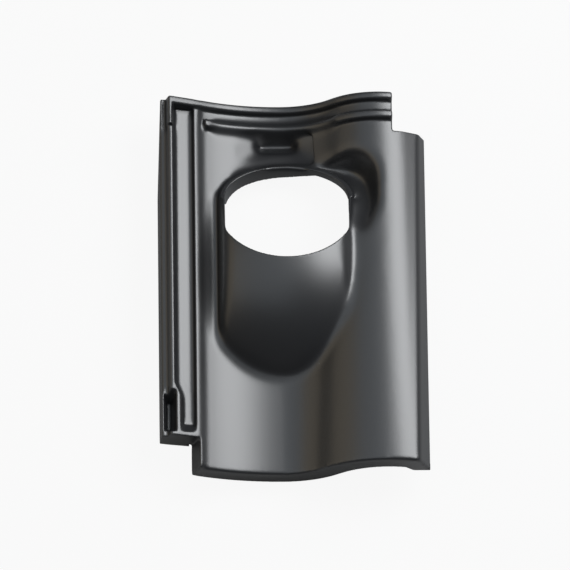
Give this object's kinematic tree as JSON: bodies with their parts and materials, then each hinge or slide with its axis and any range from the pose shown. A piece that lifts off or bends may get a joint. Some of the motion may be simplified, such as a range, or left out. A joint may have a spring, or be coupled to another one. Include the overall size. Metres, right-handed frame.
{
  "type": "roof vent tile",
  "caption": "Moulded roof tile with a trough, a roll, side and head laps, a batten nib and a hooded opening for a vent pipe.",
  "frame": {"origin": "centre of the bounding box, at the level of the skirt's lowest edge", "axes": "+X across the roof from the side lap to the roll, +Y up the slope towards the head lap, +Z out of the roof"},
  "size_m": [0.28, 0.405, 0.089],
  "materials": {
    "moulded_plastic": "satin moulded plastic, anthracite"
  },
  "bodies": {
    "root": {"vent_tile": "moulded_plastic"}
  },
  "joints": []
}
